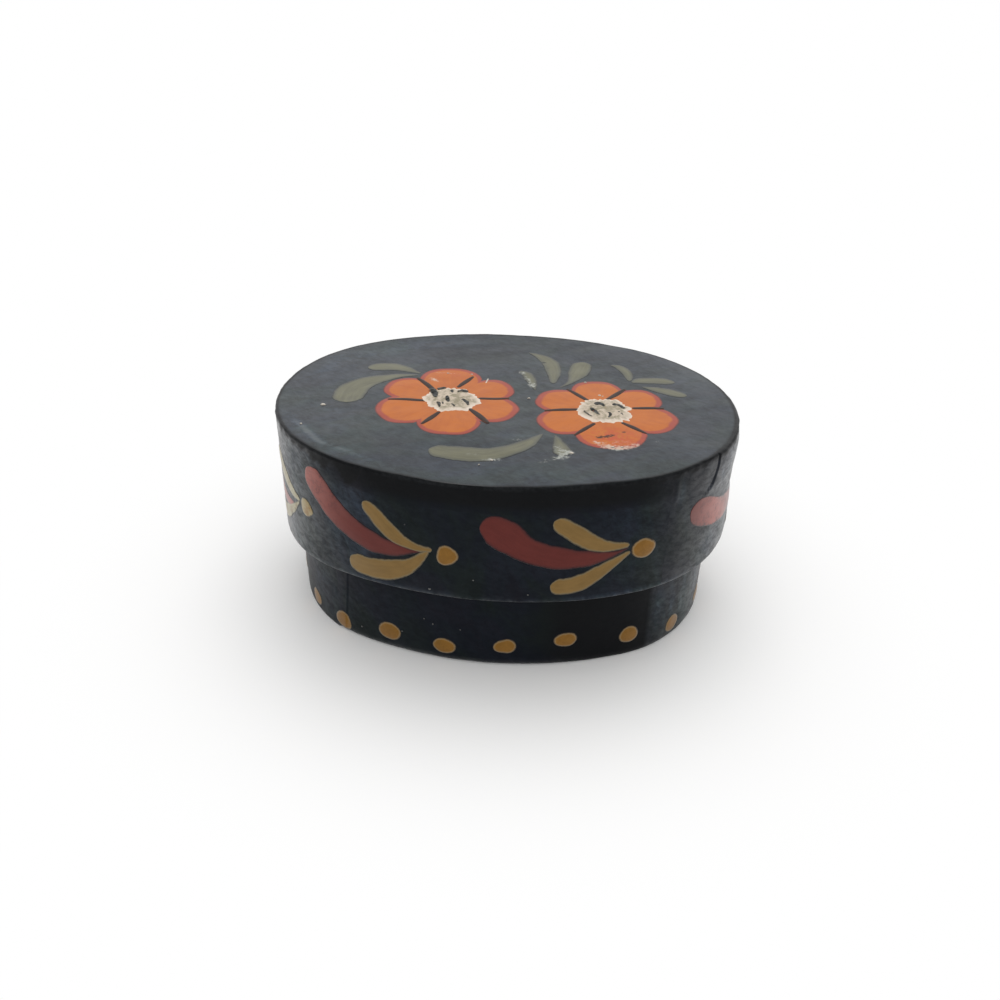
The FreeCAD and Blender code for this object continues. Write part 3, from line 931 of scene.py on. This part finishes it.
# The left flower and the right one: the middle, the angles of the lines between the petals, and how
# far each petal reaches
flowers = [
    {
        "middle": (-8.93, -1.58),
        "lines": (13, 65, 130, 180, 243, 308),
        "reaches": (11.9, 13, 12.7, 12.95, 12.45, 11.8),
    },
    {
        "middle": (16.46, -2.46),
        "lines": (14.5, 70.6, 129.4, 184, 242.6, 311.5),
        "reaches": (11.4, 11.7, 12.2, 12.15, 13, 12.05),
    },
]
petals = {"drop": 0.22, "roundness": 2.4, "uneven": 0.008, "rim": 0.8, "atEnds": 0.25, "atNotches": 0.3}


# Each petal's edge falls from its reach at its middle to the notches beside it. Its red rim is
# widest on the sides that face the ends of the lid.
def petalReach(flower, columns=360):
    angle = np.linspace(0, 360, columns, endpoint=False)
    turn = np.radians(angle)
    lines = np.array(flower["lines"])
    petal = (np.searchsorted(lines, angle, side="right") - 1) % len(lines)
    first = lines[petal]
    width = (np.roll(lines, -1)[petal] - first) % 360
    across = ((angle - first) % 360) / width * 2 - 1
    reach = np.array(flower["reaches"])[petal]
    uneven = 1 + petals["uneven"] * waves(np.cos(turn) * 9, np.sin(turn) * 9, 0, 41, 2, 6)
    rimWidth = petals["rim"] + petals["atEnds"] * np.abs(np.cos(turn))
    rimWidth = rimWidth + petals["atNotches"] * np.abs(across) ** 3
    return reach * (1 - petals["drop"] * np.abs(across) ** petals["roundness"]) * uneven, rimWidth


# One flower: a dab inside the petals' outline, with the rim's width kept for its paint
def flowerShell(number, flower):
    reach, rimWidth = petalReach(flower)
    return paintPatch(flower["middle"], reach, onLidTop, 0.07, rings=40, seed=number, rimWidth=rimWidth)


flowerShells = [flowerShell(number, flower) for number, flower in enumerate(flowers)]
addPiece("flowers", "lid", flowerPaint(), flowerShells, marks={"rub": topRubs, "worn": wornPetals})

# The umber lines between the petals, from the notch inwards
petalLines = [
    ((-19.4, -2.55, 0.3), (-16.2, -2.4, 0.62), (-12.8, -2.5, 0.52)),
    ((-4.6, -0.35, 0.48), (-1.8, -0.05, 0.58), (0.6, 0.62, 0.3)),
    ((-15.9, 6.4, 0.28), (-13.9, 4, 0.66), (-11.7, 0.9, 0.6)),
    ((-6.3, 8.45, 0.3), (-7.4, 6, 0.66), (-8.5, 3.5, 0.42)),
    ((-12.4, -10.9, 0.3), (-11.2, -8.6, 0.64), (-10.1, -6.2, 0.42)),
    ((-1.9, -9.3, 0.34), (-3.8, -6.7, 0.72), (-5.7, -4.3, 0.42)),
    ((6.6, -3.15, 0.32), (9.4, -2.82, 0.6), (12.3, -2.46, 0.5)),
    ((20.8, -0.8, 0.48), (23.3, -0.42, 0.62), (26.2, -0.1, 0.34)),
    ((10, 5.5, 0.26), (12, 2.95, 0.56), (14, 0.55, 0.4)),
    ((19.9, 6.7, 0.3), (18.2, 3.9, 0.62), (16.5, 1.4, 0.4)),
    ((11.7, -11.4, 0.26), (13.3, -9.2, 0.56), (14.9, -7, 0.4)),
    ((22.9, -9.6, 0.3), (20.9, -7.9, 0.62), (19, -6.2, 0.4)),
]
umberPaint = strokePaint(
    "umberPaint", (0.034, 0.016, 0.011), (0.08, 0.036, 0.022), 0.24, sheen=0.42, thinEdge=0
)


# A stroke for each list of knots, each with its own seed
def strokeShells(strokes, onto, film, firstSeed, **shape):
    numbered = enumerate(strokes, firstSeed)
    return [brushStroke(knots, onto, film, seed, **shape) for seed, knots in numbered]


addPiece("petal_lines", "lid", umberPaint, strokeShells(petalLines, onLidTop, 0.11, 100))

# The flowers' middles: cream paint laid on thick, with a ragged edge
creamMiddles = [
    {"middle": (-9, -1.42), "reach": (4.7, 4.8), "seed": 51},
    {"middle": (16.5, -2.25), "reach": (4.68, 4.6), "seed": 52},
]
creamFilm = 0.24
creamEdge = 0.075


# The height of the lumps in the cream paint: coarse waves and fine ones added up
def creamLumps(x, y):
    return 0.07 * waves(x, y, 0, 53, 1.1, 3, 24) + 0.03 * waves(x, y, 0, 54, 0.5, 1, 24)


# The reach of an ellipse from its middle at even angles, times an unevenness taken round a circle
def ellipseReach(halves, columns, unevenAt):
    angle = np.linspace(0, 2 * math.pi, columns, endpoint=False)
    x, y = np.cos(angle), np.sin(angle)
    return unevenAt(x, y) * halves[0] * halves[1] / np.hypot(halves[1] * x, halves[0] * y)


# A torn outline, and a round dab of the brush, gently uneven
def raggedReach(halves, seed, ragged, columns=160):
    def torn(x, y):
        coarse = 0.8 * waves(x * 4, y * 4, 0, seed, 2.2, 6)
        return 1 + ragged * (coarse + 0.45 * waves(x * 4, y * 4, 0, seed + 100, 0.6, 1.4))
    return ellipseReach(halves, columns, torn)


def dabReach(halves, seed, columns=80):
    return ellipseReach(halves, columns, lambda x, y: 1 + 0.06 * waves(x * 2, y * 2, 0, seed, 2.6, 7))


creamReaches = [raggedReach(part["reach"], part["seed"], creamEdge) for part in creamMiddles]
creamShells = [
    paintPatch(part["middle"], reach, onLidTop, creamFilm, 0.05, 30, creamLumps)
    for part, reach in zip(creamMiddles, creamReaches)
]
creamMaterial = creamPaint((0.74, 0.64, 0.54), (0.6, 0.51, 0.41), (0.33, 0.29, 0.21))
addPiece("flower_middles", "lid", creamMaterial, creamShells)

# Dark marks scratched over the cream
scratches = [
    ((-12.8, 2.2, 0.45), (-12, 0.6, 0.6), (-11.5, -1.6, 0.35)),
    ((-11.8, 2.2, 0.35), (-11, 2.5, 0.4), (-10.3, 2.6, 0.18)),
    ((-10.9, -2.7, 0.35), (-10.6, -3.8, 0.38), (-10.3, -5, 0.2)),
    ((-10.3, -2.4, 0.22), (-10.1, -3.1, 0.26), (-9.9, -3.9, 0.16)),
    ((-9.8, -0.5, 0.28), (-9.5, -1.6, 0.42), (-9.1, -2.7, 0.24)),
    ((-9.3, 2.4, 0.24), (-9.2, 1.7, 0.34), (-9, 0.9, 0.2)),
    ((-8.3, 1.5, 0.3), (-7.5, 1.7, 0.5), (-6.5, 2.1, 0.42)),
    ((-7.3, -1.4, 0.22), (-6.4, -2, 0.36), (-5.8, -3.6, 0.2)),
    ((-8.6, -3.4, 0.14), (-8.2, -4.1, 0.2), (-7.9, -4.6, 0.12)),
    ((14.6, -0.4, 0.45), (15.5, -0.5, 0.72), (16.4, -1, 0.45)),
    ((17.6, 0, 0.3), (18.6, -0.4, 0.5), (19.6, -1.7, 0.2)),
    ((14.1, -2, 0.3), (14.8, -3.1, 0.4), (15.6, -4.6, 0.18)),
    ((16.6, -3, 0.2), (17.3, -3.8, 0.34), (17, -5.3, 0.2)),
    ((18.2, -2.7, 0.12), (18.9, -3.1, 0.18), (19.4, -3.9, 0.12)),
    ((13, -3.4, 0.12), (13.6, -4.3, 0.2), (14.3, -5.3, 0.12)),
]


# Places that lie the lift above the cream paint
def onCream(x, y, lift):
    return onLidTop(x, y, lift + creamFilm + 0.01 + creamLumps(x, y))


inkPaint = strokePaint("inkPaint", (0.026, 0.028, 0.026), (0.09, 0.082, 0.066), 0.22, sheen=0.5, thinEdge=0)
addPiece("cream_scratches", "lid", inkPaint, strokeShells(scratches, onCream, 0.08, 140, wobble=0.1))

leaves = [
    ((-25.2, 9.5, 1), (-23.1, 10.3, 1.65), (-20.8, 10.5, 1.6), (-18.5, 9.8, 1.15), (-15.6, 8.3, 0.25)),
    ((-25.9, -4.3, 2.4), (-26.1, -2, 2.75), (-25.8, 1, 2.75), (-24, 3.9, 2.05), (-21.2, 5.8, 1.35),
     (-18.6, 7, 0.8), (-15.9, 7.5, 0.2)),
    ((-10, -18.5, 1.6), (-7.8, -19, 1.95), (-4.4, -19.3, 2.15), (-0.9, -19.1, 1.95), (2, -17.6, 1.65),
     (4.5, -15.2, 1.35), (6.8, -11.4, 0.2)),
    ((10.1, -18.3, 1.3), (9.9, -16.4, 1.45), (9.4, -14, 0.95), (8.7, -11.6, 0.15)),
    ((1.6, 11.7, 0.3), (2.9, 10.3, 1), (3.9, 7.6, 0.95), (4.7, 4.4, 0.2)),
    ((7.6, 7.4, 0.5), (7.5, 11.8, 1.35), (6.7, 15.9, 1.55), (4.9, 18.4, 1.1), (2.6, 20, 0.2)),
    ((12.6, 17, 1.3), (12.3, 15.2, 1.9), (11.8, 12.2, 1.85), (10.6, 8.4, 0.7), (8.9, 5.9, 0.15)),
    ((17.5, 16.1, 0.25), (19.1, 15.3, 0.85), (20.4, 13, 1.05), (20.8, 9.9, 0.4)),
    ((21.1, 9.3, 0.35), (22.5, 10.2, 1.05), (24.8, 10.5, 1.25), (27, 10.3, 1.15), (28.5, 9.9, 0.6)),
    ((22.8, 7.9, 0.25), (25, 7.1, 0.95), (27.1, 6.2, 1.3), (28.9, 5.3, 1.2), (30.2, 4.8, 0.6)),
]
leafColours = ((0.15, 0.146, 0.09), (0.082, 0.086, 0.066))
leafPaint = strokePaint("leafPaint", *leafColours, 0.9, patchy=0.9, sheen=0.95, rubbed=darkPaint["rubbed"])
leafShells = strokeShells(leaves, onLidTop, 0.035, 160, rings=72, around=28)
addPiece("leaves", "lid", leafPaint, leafShells, marks={"rub": topRubs, "dull": topDulls})

# Flecks of white on the top, and a scratch across a petal
flecks = [
    (-29.42, -5.69, 0.42), (3.83, 1, 0.26), (15.55, 3.28, 0.3), (-31.07, -13.05, 0.22), (16.1, 3, 0.16),
    (11.4, -17.2, 0.3), (-10.9, 9, 0.2), (-6.7, 9.1, 0.22), (17.6, -14.7, 0.28), (19, -14.6, 0.24),
    (-2, -22.3, 0.16), (-0.3, -20.8, 0.24), (13.1, 8.3, 0.22),
]
scratchLine = [((-4, 5.1, 0.1), (-3.85, 6.5, 0.16), (-3.7, 7.9, 0.12))]
fleckPaint = strokePaint("fleckPaint", (0.66, 0.6, 0.52), (0.34, 0.31, 0.27), 0.1, sheen=0.5, thinEdge=0)


# Small ragged dabs, each given as its place and its half size
def fleckShells(places, onto, firstSeed, columns=24):
    made = []
    for seed, (u, v, size) in enumerate(places, firstSeed):
        reach = raggedReach((size, size * 0.8), seed, 0.12, columns)
        made.append(paintPatch((u, v), reach, onto, 0.11, 0.05, 6, seed=9))
    return made


scratchShells = strokeShells(scratchLine, onLidTop, 0.12, 190, rings=24, around=12, wobble=0.15)
addPiece("top_flecks", "lid", fleckPaint, fleckShells(flecks, onLidTop, 300) + scratchShells)


# The strokes round the lid's wall

# Four motifs are as far as they show in front, and the others follow their pattern at the back
firstMotif = {
    "red": ((-30.8, 31.3, 1.9), (-29.5, 30.1, 2.5), (-27.5, 28.2, 2.5), (-25.3, 26.2, 2.35),
            (-22.9, 24.5, 2.25), (-20.1, 23.1, 2.1), (-17.3, 22.3, 1.85), (-14.6, 22.1, 1.4),
            (-12.2, 22.3, 0.7), (-10.2, 22.6, 0.15)),
    "upper": ((-19.4, 29.3, 1), (-17.8, 28, 1.4), (-16.3, 26.4, 1.5), (-14.6, 24.9, 1.4),
              (-12.7, 23.8, 1.1), (-10.7, 23.2, 0.75), (-8.4, 23.2, 0.5)),
    "lower": ((-22.5, 18.2, 1.75), (-21, 17.6, 1.95), (-18.7, 17.4, 2), (-15.8, 17.9, 2),
              (-13.5, 18.8, 1.7), (-11.6, 20, 1.2), (-10.2, 21.5, 0.8), (-9, 22.9, 0.35)),
    "dot": (-6.1, 22.5, 1.72, 1.75),
}
secondMotif = {
    "red": ((-1.2, 28.2, 2.1), (0.3, 28, 2.6), (2, 27.3, 2.85), (3.7, 26.1, 2.75), (5.4, 24.8, 2.3),
            (8.3, 23.6, 2.2), (11.3, 22.9, 1.95), (14.2, 22.6, 1.6), (17.2, 22.7, 1),
            (19.5, 23.1, 0.5), (21.3, 23.7, 0.15)),
    "upper": ((9.6, 29.6, 1), (10.9, 28.7, 1.4), (12.9, 27.2, 1.5), (14.8, 25.8, 1.45),
              (16.7, 24.8, 1.25), (18.9, 24.3, 0.9), (21.4, 24.2, 0.5)),
    "lower": ((9.5, 18.1, 1.3), (10.8, 17.8, 1.5), (12.5, 17.9, 1.6), (14.6, 18.6, 1.55),
              (16.8, 19.9, 1.3), (18.9, 21.3, 0.95), (21.6, 23, 0.4)),
    "dot": (23.8, 23.1, 1.86, 1.86),
}
leftMotif = {
    "red": ((-59.5, 27, 1.9), (-57, 26.9, 2.4), (-53, 25.2, 2.6), (-49, 23.4, 2.3),
            (-45, 22.2, 1.9), (-41, 21.5, 1.4), (-37.5, 21.5, 0.9), (-35.6, 22.2, 0.5),
            (-33.9, 23.4, 0.15)),
    "upper": ((-44.4, 28.6, 1.2), (-42.4, 27.6, 1.6), (-40.2, 26.3, 1.6), (-38, 25.1, 1.3),
              (-35.8, 24.3, 0.9), (-33.8, 24, 0.45)),
    "lower": ((-45.6, 18.2, 1.1), (-43.2, 17.8, 1.4), (-40.6, 18.5, 1.35), (-38.2, 20, 1),
              (-36.2, 21.5, 0.75), (-34, 23.6, 0.25)),
    "dot": (-31.75, 23.55, 1.68, 1.72),
}
rightMotif = {
    "red": ((32.3, 27.1, 1.6), (33.5, 26.7, 2.15), (35.6, 25.8, 2.55), (39.3, 24.2, 2.45),
            (43.2, 23.1, 2.1), (48, 22.5, 1.6), (52.5, 22.5, 1.1), (56, 22.9, 0.6),
            (58.2, 23.5, 0.15)),
    "upper": ((48.6, 29.4, 0.9), (50.3, 28.4, 1.25), (52.2, 26.9, 1.3), (54, 25.6, 1.15),
              (56.2, 24.6, 0.8), (58.4, 24.2, 0.45)),
    "lower": ((48.2, 17.9, 1.1), (49.8, 17.6, 1.35), (51.8, 18, 1.4), (54, 19.2, 1.25),
              (56.2, 21, 0.85), (58.5, 22.9, 0.3)),
    "dot": (60.8, 23.2, 1.95, 1.9),
}
backMotifs = 3
# How far a dot, a stroke, each knot of it and its width stray from the pattern
astray = {"dot": 0.4, "stroke": 0.45, "knot": 0.12, "width": 0.05}


# A motif moved along the wall, with a little of the hand's unevenness
def movedMotif(motif, shift, seed):
    dice = np.random.default_rng(seed)
    moved = {}
    for name, knots in motif.items():
        if name == "dot":
            run, z, *halves = knots
            run = run + shift + dice.normal(0, astray["dot"])
            moved[name] = (run, z + dice.normal(0, astray["dot"]), *halves)
            continue
        push = dice.normal(0, astray["stroke"], 2)
        moved[name] = []
        for run, z, half in knots:
            z = z + push[1] + dice.normal(0, astray["knot"])
            moved[name].append((run + shift + push[0], z, half * (1 + dice.normal(0, astray["width"]))))
    return moved


allMotifs = [leftMotif, firstMotif, secondMotif, rightMotif]
spacing = (leftMotif["dot"][0] + perimeter - rightMotif["dot"][0]) / (backMotifs + 1)
for turn in range(backMotifs):
    model = (firstMotif, secondMotif)[turn % 2]
    dotRun = rightMotif["dot"][0] + (turn + 1) * spacing
    allMotifs.append(movedMotif(model, dotRun - model["dot"][0], 63 + turn))

# The strokes at both ends are paler, as patches on the plan: painted glare where their sheen at a slant
# lightens them
glarePatches = {"pale": [(-30.5, -16, 7.5, 8, 0, 0.75), (-37, -5, 4.5, 9, 0, 0.5), (34.5, -11, 5, 7, 0, 0.8)]}
# Each paint's body and rim, the rim's width, how patchy it is, its sheen, and its pale colour, which is
# painted glare
wallPaints = {
    "barnRedPaint": ((0.114, 0.024, 0.02), (0.07, 0.02, 0.019), 0.75, 0.4, 1.3, (0.4, 0.09, 0.058)),
    "ochrePaint": ((0.208, 0.126, 0.042), (0.185, 0.148, 0.084), 0.5, 0.5, 1.1, (0.46, 0.44, 0.3)),
    "dotPaint": ((0.225, 0.11, 0.022), (0.262, 0.182, 0.092), 0.5, 0.6, 1.1, (0.38, 0.33, 0.18)),
}
barnRed, ochre, dotOchre = (
    strokePaint(name, *looks, pale=pale) for name, (*looks, pale) in wallPaints.items()
)

redStrokes = [motif["red"] for motif in allMotifs]
yellowStrokes = [motif[part] for motif in allMotifs for part in ("upper", "lower")]
redShells = strokeShells(redStrokes, onLidWall, 0.045, 200)
ochreShells = strokeShells(yellowStrokes, onLidWall, 0.075, 220)


# Dabs of paint, each given as its run, its height and its half sizes
def dabShells(dabs, onto, film, dome, firstSeed):
    made = []
    for number, (run, z, *halves) in enumerate(dabs):
        reach = dabReach(halves, firstSeed + number)
        made.append(paintPatch((run, z), reach, onto, film, dome, seed=number))
    return made


dotShells = dabShells([motif["dot"] for motif in allMotifs], onLidWall, 0.08, 0.1, 240)
addPiece("red_strokes", "lid", barnRed, redShells, marks=glarePatches)
addPiece("ochre_strokes", "lid", ochre, ochreShells, marks=glarePatches)
addPiece("lid_dots", "lid", dotOchre, dotShells, marks=glarePatches)

# The dots round the foot, as run, height and half sizes: those at the front as they show, then on
# round the back at even steps
footDots = {
    "shown": [(-36.5, 2.2, 1.9, 1.55), (-27.2, 2.1, 1.95, 1.8), (-17.4, 3.6, 2, 1.84),
              (-7.25, 3.1, 2.05, 1.55), (2.9, 4.15, 2, 1.55), (13, 5.2, 1.95, 1.55),
              (24.3, 4.25, 1.9, 1.7), (34.8, 2.75, 1.9, 1.65), (45.7, 2.98, 1.9, 1.6)],
    "count": 21,
    "height": 3.4,
    "halfSizes": (1.95, 1.6),
    "astray": (0.4, 0.5),
}


# The dots that show, then the others at even gaps, each a little astray
def footPlaces():
    dice = np.random.default_rng(71)
    along, upwards = footDots["astray"]
    places = list(footDots["shown"])
    left = footDots["count"] - len(places)
    gap = (perimeter + places[0][0] - places[-1][0]) / (left + 1)
    for step in range(1, left + 1):
        run = footDots["shown"][-1][0] + step * gap + dice.normal(0, along)
        places.append((run, footDots["height"] + dice.normal(0, upwards), *footDots["halfSizes"]))
    return places


addPiece("foot_dots", "base", dotOchre, dabShells(footPlaces(), onBaseWall, 0.07, 0.08, 260))

# Dust-sized flecks of old paint on the walls
lidFlecks = [(-8.9, 15.9, 0.2), (-2.1, 18.6, 0.13), (6.2, 16.4, 0.12), (-12.5, 27, 0.1)]
baseFlecks = [
    (-22.9, 2.6, 0.18), (-9.3, 7.2, 0.13), (-10.8, 8, 0.12), (-14.9, 4.3, 0.15), (-4.6, 6.9, 0.12),
]
greyPaint = strokePaint("greyPaint", (0.15, 0.15, 0.14), (0.08, 0.08, 0.08), 0.05, sheen=0.6, thinEdge=0)
addPiece("lid_flecks", "lid", greyPaint, fleckShells(lidFlecks, onLidWall, 330))
addPiece("base_flecks", "base", greyPaint, fleckShells(baseFlecks, onBaseWall, 340))
print("painting ready")


# Camera, lights, floor and background

camera = {
    "place": (10.846, -142.571, 104.155),
    "pitch": 31.83,
    "yaw": 4.585,
    "roll": 1.17,
    "lens": 34.2,
    "sensor": 36,
}
lens = bpy.data.cameras.new("camera")
lens.lens = camera["lens"]
lens.sensor_width = camera["sensor"]
lens.clip_start = 0.01
eye = linked("camera", lens)
facing = Matrix.Rotation(math.radians(camera["yaw"]), 4, "Z")
facing = facing @ Matrix.Rotation(math.radians(90 - camera["pitch"]), 4, "X")
facing = facing @ Matrix.Rotation(math.radians(camera["roll"]), 4, "Z")
eye.matrix_world = Matrix.Translation(Vector(camera["place"]) * mm) @ facing
scene.camera = eye

# The lamp is above and behind the box, so that the shadow falls softly forwards
softbox = {"place": (0.04, 0.3, 0.72), "size": 0.62, "radiance": 1.24}
lamp = bpy.data.lights.new("softbox", "AREA")
lamp.shape = "SQUARE"
lamp.size = softbox["size"]
lamp.energy = softbox["radiance"] * math.pi * softbox["size"] ** 2
lampObject = linked("softbox", lamp)
aim = Vector(softbox["place"]).to_track_quat("Z", "Y").to_matrix().to_4x4()
lampObject.matrix_world = Matrix.Translation(softbox["place"]) @ aim

world = bpy.data.worlds.new("studio")
scene.world = world
sky = Finish(world)
fill = 0.87


# 1 for the rays that look at a background: from the camera, or by way of gloss or glass
def looking(finish):
    ways = ("Is Camera Ray", "Is Glossy Ray", "Is Transmission Ray")
    camera, gloss, glass = (finish.node("LightPath", {}, {}, way) for way in ways)
    return finish.maths("MAXIMUM", finish.maths("MAXIMUM", camera, gloss), glass)


strength = looking(sky) * (1 - fill) + fill
background = sky.node("Background", {}, {"Color": (1, 1, 1, 1), "Strength": strength})
sky.node("OutputWorld", {}, {"Surface": background})

floorSize = 6
corner = floorSize / 2
floorMesh = bpy.data.meshes.new("floor")
corners = [(-corner, -corner, 0), (corner, -corner, 0), (corner, corner, 0), (-corner, corner, 0)]
floorMesh.from_pydata(corners, [], [(0, 1, 2, 3)])
floorObject = linked("floor", floorMesh)

# White paper: it shades off to the plain white of the background away from the box
floorTone = {"near": 0.98, "fadeFrom": 30, "fadeTo": 74, "narrow": 0.8}
paper = Finish(bpy.data.materials.new("paper"))
place = paper.stretched(paper.solid(), (floorTone["narrow"], 1, 1))
distance = paper.node("VectorMath", {"operation": "LENGTH"}, {0: place}, "Value")
away = paper.fade(distance, floorTone["fadeFrom"], floorTone["fadeTo"]) * looking(paper)
near = floorTone["near"]
matt = paper.node("BsdfDiffuse", {}, {"Color": (near, near, near * 0.995, 1)})
glow = paper.node("Emission", {}, {"Color": (1, 1, 1, 1), "Strength": 1})
both = paper.node("MixShader", {}, {0: away, 1: matt, 2: glow})
paper.node("OutputMaterial", {}, {"Surface": both})
floorMesh.materials.append(paper.owner)
print("camera, lights and floor ready")
